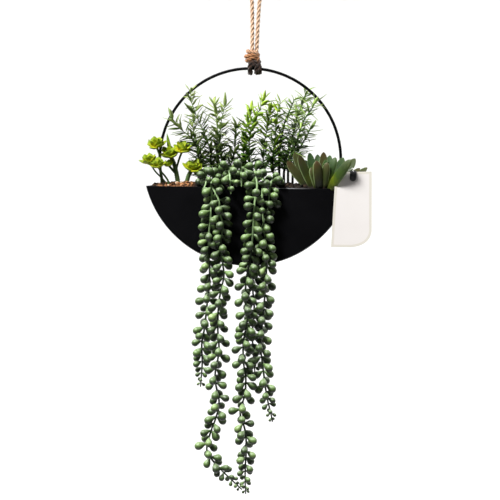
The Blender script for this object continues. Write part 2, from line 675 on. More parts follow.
def sprig_leaf(name, deep, middle, light, stem):
    """Moulded leaves: dark low on the sprig, light at its top and towards each tip.

    'lift' is the height on the sprig, 'tone' the leaf's own shade, and 'along' is negative on
    the stem.
    """
    paint = Paint(name)
    tone, along, lift = paint.value("tone"), paint.value("along"), paint.value("lift")
    streak = paint.noise(700.0, 2.0, 0.6)
    level = lift * 0.55 + tone * 0.42 + along.clamp() * 0.16 + (streak - 0.5) * 0.2
    leaf = paint.ramp(level, (0.16, deep), (0.5, middle), (0.88, light))
    rib = 1 - paint.value("edge").step(0.0, 0.45)
    leaf = paint.mix(rib * 0.3, leaf, deep)
    bark = paint.mix(lift.step(0.15, 0.7), stem, middle)
    is_leaf = along.step(-0.5, -0.2)
    return paint.finish(Base_Color=paint.mix(is_leaf, bark, leaf),
                        Roughness=0.5 + 0.2 * streak, Specular_IOR_Level=0.25,
                        Subsurface_Weight=0.1, Subsurface_Radius=(0.002, 0.004, 0.001),
                        Subsurface_Scale=0.4, Normal=paint.bump(streak, 0.00012, 0.5))


def rosette_leaf(name, yellow):
    """Yellow-green plump leaves, greener towards their tips, on dark green stalks."""
    paint = Paint(name)
    tone, along = paint.value("tone"), paint.value("along")
    blotch = paint.noise(380.0, 3.0, 0.6)
    level = along.clamp() * 0.62 + tone * 0.25 + (blotch - 0.5) * 0.35
    leaf = paint.ramp(level, (0.05, "b59a0c"), (0.38, yellow), (0.62, "7b8e10"),
                      (0.92, "466518"))
    stalk = paint.mix(blotch, "2b3d1e", "526a3b")
    return paint.finish(Base_Color=paint.mix(along.step(-0.5, -0.2), stalk, leaf),
                        Roughness=0.5 + 0.16 * blotch, Specular_IOR_Level=0.22,
                        Subsurface_Weight=0.12, Subsurface_Radius=(0.004, 0.005, 0.001),
                        Subsurface_Scale=0.5, Normal=paint.bump(blotch, 0.0002, 0.5))


def agave_leaf(name, middle):
    """Thick leaves with pale edges: yellow-green base, deep green middle, lighter tip.

    Where 'red' is high they are dark olive, and brown at the tip.
    """
    paint = Paint(name)
    along, red, edge = paint.value("along"), paint.value("red"), paint.value("edge")
    stripe = paint.noise(1.0, 3.0, 0.6, paint.place((240.0, 240.0, 60.0)))
    blotch = paint.noise(120.0, 3.0, 0.6)
    level = along + (stripe - 0.5) * 0.22 + (blotch - 0.5) * 0.2
    green = paint.ramp(level, (0.16, "45500e"), (0.3, "63730f"), (0.5, middle),
                       (0.72, "1d3815"), (0.95, "38532a"))
    olive = paint.ramp(level, (0.15, "10120a"), (0.45, "282b0e"), (0.75, "393a19"),
                       (1.0, "47341b"))
    leaf = paint.mix((red * 1.3 + (blotch - 0.5) * 0.3).clamp(), green, olive)
    rim = edge.step(0.88, 0.99) * along.step(0.12, 0.4)
    leaf = paint.mix(rim * 0.6, leaf, "93a872")
    return paint.finish(Base_Color=leaf, Roughness=0.42 + 0.2 * stripe,
                        Specular_IOR_Level=0.25, Subsurface_Weight=0.08,
                        Subsurface_Radius=(0.003, 0.005, 0.001), Subsurface_Scale=0.4,
                        Normal=paint.bump(stripe, 0.0003, 0.5))


def grit(name, brown):
    """Rough grit: each stone its own brown, with orange chips where 'warm' is high."""
    paint = Paint(name)
    tone, warm = paint.value("tone"), paint.value("warm")
    speck = paint.noise(1400.0, 4.0, 0.7)
    cool = paint.ramp(tone, (0.1, "0b0907"), (0.55, "1f1711"), (0.95, "423225"))
    hot = paint.ramp(tone, (0.12, "2e2015"), (0.4, brown), (0.62, "b17a4e"),
                     (0.82, "d3a57d"), (0.96, "f0d8be"))
    base = paint.mix(warm.step(0.35, 0.65), cool, hot)
    return paint.finish(Base_Color=paint.mix(speck * 0.45, base, "2a1a10", "MULTIPLY"),
                        Roughness=0.88 + 0.1 * speck, Specular_IOR_Level=0.2,
                        Normal=paint.bump(speck, 0.0005, 0.9))


def foam_block(name):
    """Open-cell planting foam: dark green with small pores."""
    paint = Paint(name)
    pores = paint.cells(900.0)
    cloud = paint.noise(60.0)
    return paint.finish(Base_Color=paint.mix(cloud, "26331f", "3a4a2d"),
                        Roughness=0.92 + 0.05 * cloud, Specular_IOR_Level=0.1,
                        Normal=paint.bump(pores, 0.0006, 0.8))


def tag_card(name, face, border):
    """Matte card: off-white face inside a cream border, with paper grain.

    'inset' is the distance from the card's edge in mm.
    """
    paint = Paint(name)
    grain = paint.noise(2600.0, 3.0, 0.7)
    cloud = paint.noise(40.0)
    at_edge = 1 - paint.value("inset").step(3.15, 3.45)
    base = paint.mix(at_edge, paint.mix(cloud, face, "d1cdca"), border)
    return paint.finish(Base_Color=base, Roughness=0.62 + 0.12 * grain,
                        Specular_IOR_Level=0.3, Normal=paint.bump(grain, 0.00006, 0.5))


def woven_ribbon(name):
    """Black woven ribbon: fine ribs across its width and along its length."""
    paint = Paint(name)
    across, along = (
        Value(paint, paint.node("ShaderNodeTexWave", {"bands_direction": direction}, {
            "Vector": paint.place(), "Scale": 320.0, "Distortion": 0.6}).outputs[1])
        for direction in "XZ")
    height = across * along
    return paint.finish(Base_Color=paint.mix(height, "08080a", "1d1d22"),
                        Roughness=0.6 + 0.2 * height, Sheen_Weight=0.2,
                        Normal=paint.bump(height, 0.0002, 0.7))


def clear_thread(name):
    """Pale nylon thread with a faint twist."""
    paint = Paint(name)
    twist = paint.noise(1200.0, 2.0)
    return paint.finish(Base_Color=paint.mix(twist, "c9c9c6", "eeeeec"),
                        Roughness=0.28 + 0.12 * twist, Specular_IOR_Level=0.6)


def studio_white(name):
    """Plain pale paper for the floor and backdrop."""
    paint = Paint(name)
    cloud = paint.noise(0.7, 2.0)
    return paint.finish(Base_Color=paint.mix(cloud, "f2f2f1", "f6f6f5"),
                        Roughness=0.95, Specular_IOR_Level=0.05)


# ---------- settings ----------

class PlanterSizes(bpy.types.PropertyGroup):
    """Sizes of the finer pieces."""

    rod_radius: bpy.props.FloatProperty(
        name="Rod radius", description="Radius of the hoop's rod", default=0.002,
        min=0.0005, unit="LENGTH", subtype="DISTANCE")
    rope_radius: bpy.props.FloatProperty(
        name="Rope radius", description="Radius over the rope's three yarns",
        default=0.0028, min=0.001, unit="LENGTH", subtype="DISTANCE")
    rope_lay: bpy.props.FloatProperty(
        name="Rope lay", description="Length in which a yarn goes once around",
        default=0.021, min=0.005, unit="LENGTH", subtype="DISTANCE")
    bead_radius: bpy.props.FloatProperty(
        name="Bead radius", description="Largest radius of a full-grown bead",
        default=0.0055, min=0.001, unit="LENGTH", subtype="DISTANCE")
    bead_length: bpy.props.FloatProperty(
        name="Bead length", description="From the stem to the bead's round end",
        default=0.0168, min=0.002, unit="LENGTH", subtype="DISTANCE")
    bead_pitch: bpy.props.FloatProperty(
        name="Bead pitch", description="From one pair of beads to the next",
        default=0.0097, min=0.002, unit="LENGTH", subtype="DISTANCE")
    stone_count: bpy.props.IntProperty(
        name="Stones", description="Loose stones on the filling", default=620, min=0)
    seed: bpy.props.IntProperty(
        name="Seed", description="Start of every random draw", default=7, min=0)


def swatch(name, text, code):
    """A colour property whose default is a hex code."""
    return bpy.props.FloatVectorProperty(
        name=name, description=text, default=colour(code), size=4, subtype="COLOR",
        min=0.0, max=1.0)


class PlanterColours(bpy.types.PropertyGroup):
    """Main colour of each finish."""

    metal: swatch("Metal", "Powder coat of the hoop and the trough", "010102")
    jute: swatch("Jute", "Middle tone of the rope", "c8a78a")
    grit: swatch("Grit", "Middle tone of the warm stones", "70492c")
    beads: swatch("Beads", "Middle tone of the burro's tail beads", "415a26")
    grey: swatch("Grey needles", "Middle tone of the left sprigs", "4c6428")
    lime: swatch("Lime leaves", "Middle tone of the middle sprigs", "406214")
    green: swatch("Green needles", "Middle tone of the right sprigs", "3b5821")
    rosettes: swatch("Small rosettes", "Yellow of the small rosettes", "a29c0e")
    agave: swatch("Large rosette", "Green in the middle of the large leaves", "345013")
    card: swatch("Card", "Face of the tag", "cdc8c5")
    border: swatch("Card border", "Border of the tag", "c4bfb5")


class PlanterLight(bpy.types.PropertyGroup):
    """Strengths of the studio light."""

    key_power: bpy.props.FloatProperty(
        name="Key", description="Power of the key light from the upper left", default=20.0,
        min=0.0, unit="POWER")
    wall_power: bpy.props.FloatProperty(
        name="Backdrop", description="Power of each light on the backdrop", default=57.0,
        min=0.0, unit="POWER")
    ambient: bpy.props.FloatProperty(
        name="Ambient", description="Strength of the pale surroundings", default=0.1,
        min=0.0)


# ---------- pieces ----------

class PLANTER_OT_hoop(bpy.types.Operator):
    """Make the thin rod hoop"""

    bl_idname = "planter.hoop"
    bl_label = "Hoop"

    def execute(self, context):
        """A ring: centre line R (cos a, 0, sin a), rod radius r around it."""
        rod = context.scene.planter_sizes.rod_radius / MM
        coat = powder_coat("rod_powder_coat", context.scene.planter_colours.metal, 1400.0)
        surface = Surface()
        surface.tube(HOOP_RADIUS * swing(X_AXIS, Z_AXIS, around(240)), rod, 16, Y_AXIS,
                     closed=True)
        surface.piece("hoop_rod", coat, ["hoop"])
        return {"FINISHED"}


class PLANTER_OT_pot(bpy.types.Operator):
    """Make the half-moon trough: a rolled band and two plates with folded rims"""

    bl_idname = "planter.pot"
    bl_label = "Trough"

    def execute(self, context):
        coat = powder_coat("trough_powder_coat", context.scene.planter_colours.metal, 1100.0)
        self.band(coat)
        self.plate("pot_front_sheet", -1, coat, "pot_front")
        self.plate("pot_back_sheet", 1, coat, "pot_back")
        return {"FINISHED"}

    def band(self, coat):
        """Section of a sheet with round edges, turned from tip to tip around the bottom."""
        half = SHEET / 2
        y = np.linspace(-PLATE_FACE, PLATE_FACE, 14)
        turn = np.linspace(-np.pi / 2, np.pi / 2, 7)[1:-1]
        edge = np.stack([PLATE_FACE + half * np.cos(turn), -half * np.sin(turn)], 1)
        section = np.vstack([
            np.stack([y, 0 * y + half], 1), edge,
            np.stack([y[::-1], 0 * y - half], 1), edge[::-1] * [-1, 1]])
        radius = POT_RADIUS - half + section[:, 1]
        tip = np.arcsin(-RIM / radius)
        share = np.linspace(0, 1, 170)[:, None]
        a = np.pi + tip + share * (np.pi - 2 * tip)
        surface = Surface()
        surface.rings(grid_of(radius * np.cos(a), section[:, 0], radius * np.sin(a)))
        surface.piece("pot_band_sheet", coat, ["pot_band"], sharp=0.6)

    def plate(self, name, side, coat, node):
        """Half-moon plate: x = X sin u, z from the rim to the arc, and a folded rim strip.

        The strip's section is a circle whose cosine and sine are raised to the power 0.45, so
        it is nearly a rectangle, 2.4 mm thick and 4 mm high.
        """
        radius, below_rim, hem = POT_RADIUS - SHEET - FIT, 0.4, 2.0
        x = math.sqrt(radius ** 2 - RIM ** 2) * np.sin(np.linspace(-1, 1, 120) * 0.4992 * np.pi)
        share = np.r_[np.linspace(0, 1, 9), np.linspace(1, 0, 9)]
        y = np.r_[np.full(9, PLATE_FACE), np.full(9, PLATE_FACE - SHEET)]
        drop = RIM + np.sqrt(radius ** 2 - x ** 2) - below_rim
        surface = Surface()
        surface.rings(grid_of(x[:, None], side * y, RIM - below_rim - share * drop[:, None]))
        a = around(24)
        pinch_y, pinch_z = squared(np.cos(a), 0.45), squared(np.sin(a), 0.45)
        z = RIM - hem + hem * pinch_z
        reach = np.sqrt((radius - 0.8) ** 2 - z ** 2)
        surface.rings(grid_of(np.linspace(-1, 1, 60)[:, None] * reach,
                              side * (PLATE_FACE - SHEET + SHEET * pinch_y), z))
        surface.piece(name, coat, [node], sharp=0.6)


class PLANTER_OT_filling(bpy.types.Operator):
    """Make the grit heap with its loose stones, and finish the hidden foam"""

    bl_idname = "planter.filling"
    bl_label = "Filling"

    def execute(self, context):
        sizes = context.scene.planter_sizes
        rng = np.random.default_rng(sizes.seed)
        surface = Surface()
        self.heap(surface, rng)
        self.stones(surface, rng, sizes.stone_count)
        surface.piece("grit_heap", grit("loose_grit", context.scene.planter_colours.grit),
                      ["gravel"], smooth=False)
        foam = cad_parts["planting_foam"].data.materials
        foam.clear()
        foam.append(foam_block("planting_foam_block"))
        return {"FINISHED"}

    def heap(self, surface, rng):
        """Sections along x: the soil height on top, the layer's underside below."""
        inner, half_depth, lower = POT_RADIUS - SHEET - 0.5, 36.6, 8
        x = np.linspace(-136, 136, 150)[:, None]
        y = np.linspace(-half_depth, half_depth, 44)
        top = soil(x, y) + 0.55 * rng.standard_normal((len(x), len(y)))
        floor = np.maximum(GRIT_BASE, -np.sqrt(inner ** 2 - x ** 2))
        grid = np.concatenate([
            grid_of(x, y, np.maximum(top, floor + 0.4)),
            grid_of(x, np.linspace(half_depth, -half_depth, lower), floor)], 1)
        columns = len(y) + lower
        warm = 0.62 * np.exp(-((x + 100) / 30) ** 2) * np.ones(columns) + 0.15
        surface.rings(grid, warm=warm, tone=rng.random((len(x), columns)) * 0.7)

    def stones(self, surface, rng, count):
        """Rough ellipsoids of 7 by 4 facets, half sunk, each turned and scaled at random."""
        kinds = []
        for _ in range(5):
            polar = np.array([0.5, 1.1, 1.75, 2.5])[:, None]
            angle = around(7) + 0.3 * rng.random((4, 7))
            r = 0.78 + 0.34 * rng.random((4, 7))
            kinds.append((*closed_grid(grid_of(
                r * np.sin(polar) * np.cos(angle), r * np.sin(polar) * np.sin(angle),
                r * np.cos(polar))), {}))
        for kind in kinds:
            n = count // len(kinds)
            x = rng.uniform(-132, 132, n)
            y = rng.uniform(-35, 35, n)
            size = rng.uniform(1.0, 2.7, n)
            warm = np.exp(-((x + 100) / 26) ** 2) + 0.35 * rng.random(n)
            spin = np.linalg.qr(rng.standard_normal((n, 3, 3)))[0]
            spin[:, :, 0] *= np.sign(np.linalg.det(spin))[:, None]
            scale = size[:, None] * rng.uniform(0.6, 1.25, (n, 3))
            surface.scatter(kind, spin * scale[:, None],
                            grid_of(x, y, soil(x, y) + 0.25 * size), warm=warm,
                            tone=rng.random(n))


class PLANTER_OT_rope(bpy.types.Operator):
    """Make the doubled jute rope with its loop, its knot and the turns around the rod"""

    bl_idname = "planter.rope"
    bl_label = "Rope"

    def execute(self, context):
        sizes = context.scene.planter_sizes
        rng = np.random.default_rng(sizes.seed + 1)
        jute = rope_fibre("twisted_jute", context.scene.planter_colours.jute)
        radius, lay = sizes.rope_radius / MM, sizes.rope_lay / MM
        path = smooth_path(ROPE_LOOP, 0.8)
        loop = Surface()
        self.twisted(loop, path, radius, lay, Y_AXIS, 0.0)
        rope = loop.piece("jute_rope_loop", jute, ["jute_rope"])
        knot = self.knot(jute, lay)
        fibres = self.fibres(path, radius, jute, rng)
        return {"FINISHED"}

    def twisted(self, surface, path, radius, lay, reference, shade, closed=False, phase=0.0):
        """Three round yarns laid as one rope that turns once in each lay.

        At angle p from the nearest yarn's middle the surface is at c cos p +
        sqrt(q^2 - c^2 sin^2 p), with c = 0.465 and q = 0.535 of the rope's radius. The fibres'
        own coordinates make them ten times as long as they are wide.
        """
        sides, third = 27, 2 * np.pi / 3
        reach = np.r_[0, np.cumsum(np.linalg.norm(np.diff(path, axis=0), axis=1))][:, None]
        if closed:
            total = reach[-1, 0] + np.linalg.norm(path[0] - path[-1])
            lay = total / max(1, round(total / lay))
        turned = around(sides) - 2 * np.pi * reach / lay + phase
        p = (turned + third / 2) % third - third / 2
        yarn, offset = 0.535 * radius, 0.465 * radius
        r = offset * np.cos(p) + np.sqrt(yarn ** 2 - (offset * np.sin(p)) ** 2)
        surface.tube(path, r, sides, reference, closed, groove=np.abs(p) / (third / 2),
                     fibre=turned * radius * 1.6, reach=reach * 0.16, shade=shade)

    def knot(self, jute, lay):
        """Overhand knot: a core and tilted wraps, then the turns that hold the rod.

        A wrap is the ellipse of its half width and 6.3 mm, tilted around Y. A turn goes down
        in front of the rod, under it and up behind it, at the rope's radius and 2.3 mm.
        """
        surface = Surface()
        self.twisted(surface, smooth_path(KNOT_CORE, 0.8), 5.2, lay, X_AXIS, 0.55)
        for middle, z, tilt, wide, shade, phase in KNOT_WRAPS:
            across, axis = (swing(X_AXIS, Z_AXIS, angle) for angle in (tilt, tilt + np.pi / 2))
            ring = swing(wide * across, 6.3 * Y_AXIS, around(64)) + [middle, 0, z]
            self.twisted(surface, ring, 2.9, 15.0, axis, shade, closed=True, phase=phase)
        for x, lean, r, phase in ROD_TURNS:
            under = 2.3 + r
            front = [[x + lean * 2, -2.5, 141], [x + lean, 0.3 - under, 132], [x, -under, 126],
                     [x, -0.72 * under, 121.6]]
            behind = [[px, -y, z] for px, y, z in front[::-1]]
            route = smooth_path([*front, [x, 0, HOOP_RADIUS - under - 0.3], *behind], 0.7)
            shade = np.clip(1.0 - (route[:, 2] - 130) / 22, 0.6, 1.0)[:, None]
            self.twisted(surface, route, r, 17.0, X_AXIS, shade, phase=phase)
        return surface.piece("jute_knot", jute)

    def fibres(self, path, radius, jute, rng):
        """Loose hairs: thin arcs that leave the rope's surface, radius 0.09 (1 - 0.7 t)."""
        n = 150
        tangent, normal, other = path_frames(path, Y_AXIS)
        k = rng.integers(6, len(path) - 6, n)
        out = swing(normal[k], other[k], rng.uniform(0, 2 * np.pi, n))
        start = path[k] + out * radius * 0.8
        length = rng.uniform(1.4, 4.2, n)[:, None]
        way = rng.choice([-1, 1], n)[:, None] * tangent[k]
        along = length * unit(way * 0.9 + out * 0.35)
        side = unit(np.cross(along, out))
        thick = unit(np.cross(side, along))

        def taper(t):
            return 0.09 * (1 - 0.7 * t)

        template = leaf_template([0.12, 0.55, 0.9], taper, taper, 4, keep=())
        surface = Surface()
        surface.scatter(template, leaf_basis(side, thick, along, out * length * 0.35), start,
                        groove=0.1, fibre=rng.random(n) * 9, reach=rng.random(n) * 9,
                        shade=0.05)
        return surface.piece("jute_fibres", jute)


class PLANTER_OT_tails(bpy.types.Operator):
    """Make the trailing strands and short shoots of teardrop beads"""

    bl_idname = "planter.tails"
    bl_label = "Burro's tails"

    def execute(self, context):
        sizes = context.scene.planter_sizes
        self.radius, self.length = sizes.bead_radius / MM, sizes.bead_length / MM
        rng = np.random.default_rng(sizes.seed + 2)
        skin = bead_skin("waxy_beads", context.scene.planter_colours.beads)
        template = self.bead_template()
        paths = {name: smooth_path(rooted(route), 1.0) for name, route in STRANDS.items()}
        self.stems = {name: path[::3] for name, path in paths.items()}
        self.bulbs, self.necks, self.reach = np.zeros((0, 3)), np.zeros((0, 3)), np.zeros(0)
        for name, path in paths.items():
            surface = Surface()
            size = self.size_at(name, np.arange(len(path))[::-1])
            pale = np.clip((path[:, 2] + 120) / 60, 0, 1)[:, None]
            surface.tube(path, 0.75 + 0.6 * size, 7, tone=pale, along=-1.0)
            self.beads(surface, template, name, path, sizes.bead_pitch / MM, rng)
            surface.piece("beaded_" + name.replace("tail_", ""), skin, [name])
        return {"FINISHED"}

    def size_at(self, name, rest):
        """Beads shrink over the last 52 mm of a strand, or the last 14 mm of a short shoot."""
        return np.minimum(1, 0.3 + 0.7 * rest / (52 if "tail" in name else 14))

    def bead_template(self):
        """Teardrop of radius 0.2 + 0.8 (u^2 (3 - 2 u))^0.9 of the bead's own, u = t / 0.66 up
        to 1, and from there on half an ellipse."""
        t = np.array([0.08, 0.22, 0.36, 0.5, 0.64, 0.77, 0.88, 0.96])
        u = np.minimum(t / 0.66, 1)
        neck = 0.2 + 0.8 * (u ** 2 * (3 - 2 * u)) ** 0.9
        radius = neck * np.sqrt(1 - (np.maximum(t - 0.66, 0) / 0.34) ** 2)

        def profile(station):
            return np.interp(station, t, radius)

        return leaf_template(t, profile, profile, 9)

    def fits(self, name, root, way, size):
        """Bulb, neck and radius of a bead that has room, or None.

        It has room when its bulb, a ball at the round end, clears the trough, the rod, the
        grit, the stems and the other beads. The neck is a point on its middle line.
        """
        r = self.radius * size
        bulb = root + way * (self.length * size - r)
        neck = root + way * 0.42 * self.length * size
        x, y, z = bulb
        across = math.hypot(x, z)
        if z > RIM and abs(y) < HALF_DEPTH and across < POT_RADIUS:
            blocked = z < soil(x, y) + 0.8 * r
        else:
            half_chord = math.sqrt(POT_RADIUS ** 2 - RIM ** 2)
            outside = (math.hypot(z - RIM, max(0.0, abs(x) - half_chord)) if z > RIM
                       else max(0.0, across - POT_RADIUS))
            blocked = math.hypot(max(abs(y) - HALF_DEPTH, 0.0), outside) < r + WALL_GAP
        if blocked or math.hypot(across - HOOP_RADIUS, y) < r + ROD_GAP:
            return None
        if ((np.linalg.norm(self.bulbs - bulb, axis=1) < self.reach + r + BULB_GAP).any()
                or (np.linalg.norm(self.bulbs - neck, axis=1) < self.reach + NECK_GAP).any()
                or (np.linalg.norm(self.necks - bulb, axis=1) < r + NECK_GAP).any()):
            return None
        for other, stem in self.stems.items():
            gap = OWN_STEM_GAP if other == name else STEM_GAP
            if np.linalg.norm(stem - bulb, axis=1).min() < r + gap:
                return None
        return bulb, neck, r

    def place(self, name, centre, axes, hanging, base, lean, size):
        """Root, direction and size of one bead at the first try that has room, or None."""
        tangent, normal, other = axes
        for shift, extra, share in BEAD_TRIES:
            angle = base + shift - 0.22 * math.sin(2 * (base + shift))
            up = lean + extra
            out = swing(normal, other, angle)
            way = unit(swing(out, tangent, up) - Z_AXIS * 0.12 * hanging)
            root = centre + out * 0.6
            found = self.fits(name, root, way, size * share)
            if found:
                bulb, neck, r = found
                self.bulbs = np.vstack([self.bulbs, bulb])
                self.necks = np.vstack([self.necks, neck])
                self.reach = np.r_[self.reach, r]
                return root, way, size * share
        return None

    def beads(self, surface, template, name, path, pitch, rng):
        """Crossed pairs along the strand, leaning and drooping. A blocked bead is turned aside,
        and left out where no try has room."""
        frames = path_frames(path, X_AXIS)
        total = len(path) - 1
        along = BURIED + (7.0 if name.startswith("tail") else 4.0)
        turn = rng.random() * 3
        placed = []
        while along < total - 1.5:
            size = float(self.size_at(name, total - along))
            k = int(along)
            hanging = np.clip(-(path[k, 2] + 42) / 30, 0, 1)
            axes = [vectors[k] for vectors in frames]
            for half_turn in (0, np.pi):
                own = size * rng.uniform(0.9, 1.06)
                lean = rng.uniform(0.05, 0.35) + hanging * rng.uniform(0.1, 0.42)
                base = turn + half_turn + rng.normal(0, 0.16)
                placed.append(self.place(name, path[k], axes, hanging, base, lean, own))
            along += pitch * (0.35 + 0.65 * size)
            turn += np.pi / 2 + 0.16 + rng.normal(0, 0.2)
        roots, ways, scales = (np.array(part) for part in zip(*filter(None, placed)))
        side = unit(np.cross(ways, Z_AXIS + 0.3 * Y_AXIS))
        thick = np.cross(side, ways)
        r = (self.radius * scales)[:, None]
        sag = thick * -np.sign(thick[:, 2:]) * 0.05 * self.length
        surface.scatter(template, leaf_basis(
            side * r, thick * r, ways * (self.length * scales)[:, None] - sag, sag), roots,
            tone=np.clip(rng.normal(0.5, 0.22, len(roots)), 0, 1))


class PLANTER_OT_sprigs(bpy.types.Operator):
    """Make the grey, lime and green needle sprigs"""

    bl_idname = "planter.sprigs"
    bl_label = "Needle sprigs"

    def execute(self, context):
        rng = np.random.default_rng(context.scene.planter_sizes.seed + 3)
        own = context.scene.planter_colours
        looks = {
            "grey": sprig_leaf("sage_needles", "14200b", own.grey, "a4b56a", "10150b"),
            "lime": sprig_leaf("lime_needles", "112008", own.lime, "a5c23c", "131d0b"),
            "green": sprig_leaf("green_needles", "0d1708", own.green, "a0bb66", "0a0d07"),
        }
        for name, route in SPRIGS.items():
            kind = name.split("_")[0]
            surface = Surface()
            self.sprig(surface, route, SPRIG_KINDS[kind], rng)
            surface.piece(name.replace("sprig", "foliage"), looks[kind], [name])
        return {"FINISHED"}

    def sprig(self, surface, route, kind, rng):
        """A tapered stem with needles set around it by the golden angle.

        Needle: lens section, half width w (sin(pi t^0.8)^0.8 + 0.1), bent by t^2.
        """
        path = smooth_path(rooted(route), 1.0)
        total = len(path) - 1
        lift = np.clip((path[:, 2] + 30) / 120, 0, 1)
        thin = 1 - 0.65 * (np.arange(total + 1) / total) ** 1.2
        surface.tube(path, kind["stem"] * thin, 7, along=-1.0, tone=0.5, lift=lift[:, None],
                     edge=1.0)
        # On a sprig that ends exactly on the middle line the needles are counted from X.
        reference = X_AXIS if path[-1, 0] == 0 else Y_AXIS
        tangent, normal, other = path_frames(path, reference)
        first = BURIED + kind["bare"]
        n = int((total - first) / kind["spacing"])
        u = np.linspace(0, 1, n)
        along = first + (total - first) * (0.6 * u + 0.4 * u ** 2) + rng.normal(0, 0.5, n)
        along = np.clip(along, first, total - 0.6)
        k = along.astype(int)
        turn = GOLDEN_ANGLE * np.arange(n) + rng.normal(0, 0.25, n)
        turn += 0.3 * np.sin(2 * turn)
        top = np.clip(1 - (total - along) / 22, 0, 1)
        out = swing(normal[k], other[k], turn)
        way = unit(swing(out, tangent[k], kind["lean"] + rng.normal(0, 0.28, n) + 0.25 * top))
        length = kind["length"] * rng.uniform(0.62, 1.2, n) * (1 - 0.25 * top)
        side = unit(np.cross(tangent[k], out) + 0.25 * rng.standard_normal((n, 3)))
        side = unit(side - (side * way).sum(1, keepdims=True) * way)
        thick = np.cross(side, way)
        bend = (tangent[k] * rng.normal(-0.12, 0.26, n)[:, None]
                + out * rng.normal(0.08, 0.12, n)[:, None]
                + side * rng.normal(0, 0.16, n)[:, None]) * length[:, None]
        half = 0.5 * kind["width"] * rng.uniform(0.8, 1.15, n)[:, None]
        template = leaf_template(
            [0.06, 0.25, 0.5, 0.75, 0.93], lambda t: np.sin(np.pi * t ** 0.8) ** 0.8 + 0.1,
            lambda t: 0.42 * np.sin(np.pi * t ** 0.8) ** 0.5 + 0.08, 4, keel=0.12,
            keep=("along", "edge"))
        surface.scatter(
            template, leaf_basis(side * half, thick, way * length[:, None] - bend * 0.3, bend),
            path[k], lift=lift[k], tone=np.clip(rng.normal(0.5, 0.26, n), 0, 1))


class PLANTER_OT_rosettes(bpy.types.Operator):
    """Make the small yellow-green rosettes on their stalks"""

    bl_idname = "planter.rosettes"
    bl_label = "Small rosettes"

    def execute(self, context):
        rng = np.random.default_rng(context.scene.planter_sizes.seed + 4)
        skin = rosette_leaf("rosette_skin", context.scene.planter_colours.rosettes)
        for name, (thick, spread, route) in ROSETTES.items():
            surface = Surface()
            self.stalk(surface, rooted(route), thick, spread, rng)
            if name == "rosette_4":
                small_spread, offshoot = OFFSHOOT
                self.stalk(surface, offshoot, 0.55 * thick, small_spread, rng)
                self.upright_leaf(surface)
            surface.piece(name + "_leaves", skin, [name])
        return {"FINISHED"}

    def stalk(self, surface, route, thick, spread, rng):
        """A faintly ringed, tapered stalk that ends in a head."""
        path = smooth_path(route, 1.0)
        taper = thick * (1 - 0.25 * np.linspace(0, 1, len(path)))
        rings = 1 + 0.06 * np.sin(np.arange(len(path)) * 1.9)
        surface.tube(path, taper * rings, 10, along=-1.0, tone=0.5)
        facing = unit(np.array([0, -0.4, 0.8]) + 0.3 * unit(path[-1] - path[-4]))
        self.head(surface, path[-1], facing, spread, rng)

    def upright_leaf(self, surface):
        """One long leaf out of the head: half width 2.9 (1 - t^3), pointed at the top."""
        base, tip = np.array(UPRIGHT_LEAF, float)
        template = leaf_template([0.05, 0.2, 0.4, 0.6, 0.75, 0.88, 0.96],
                                 lambda t: 2.9 * (1 - t ** 3), lambda t: 0.7 * (1 - t ** 3), 8)
        way = tip - base
        side = unit(np.cross(Y_AXIS, way))
        basis = leaf_basis(side, unit(np.cross(way, side)), way, 1.5 * side)
        surface.scatter(template, basis[None], base[None], tone=1.5)

    def head(self, surface, centre, facing, spread, rng):
        """Whorls of spoon leaves, tips turned up by t^2.

        Half width: (0.25 + 0.75 sin of a quarter turn up to t = 0.7) (1 - t^4)^0.7.
        """
        side = unit(np.cross(facing, X_AXIS))
        other = np.cross(facing, side)
        template = leaf_template(
            [0.08, 0.24, 0.42, 0.6, 0.76, 0.88, 0.96],
            lambda t: (0.25 + 0.75 * np.sin(0.5 * np.pi * np.minimum(1, t / 0.7)))
            * (1 - t ** 4) ** 0.7,
            lambda t: (0.5 + 0.5 * np.sin(np.pi * t)) * (1 - t ** 4) ** 0.6, 8, keel=0.3)
        for count, tilt, reach, wide in WHORLS:
            turn = rng.random() * 6.28 + around(count) + rng.normal(0, 0.12, count)
            out = swing(side, other, turn)
            way = unit(swing(out, facing, tilt + rng.normal(0, 0.07, count)))
            broad = unit(np.cross(facing, out))
            thick = np.cross(broad, way)
            thick *= np.sign(thick @ facing)[:, None]
            length = (1.3 * spread * reach * rng.uniform(0.88, 1.12, count))[:, None]
            bend = facing * length * 0.28
            surface.scatter(template, leaf_basis(
                broad * wide * spread, thick * 0.16 * spread, way * length - bend * 0.5, bend),
                np.broadcast_to(centre, (count, 3)),
                tone=np.clip(rng.normal(0.45, 0.2, count), 0, 1))


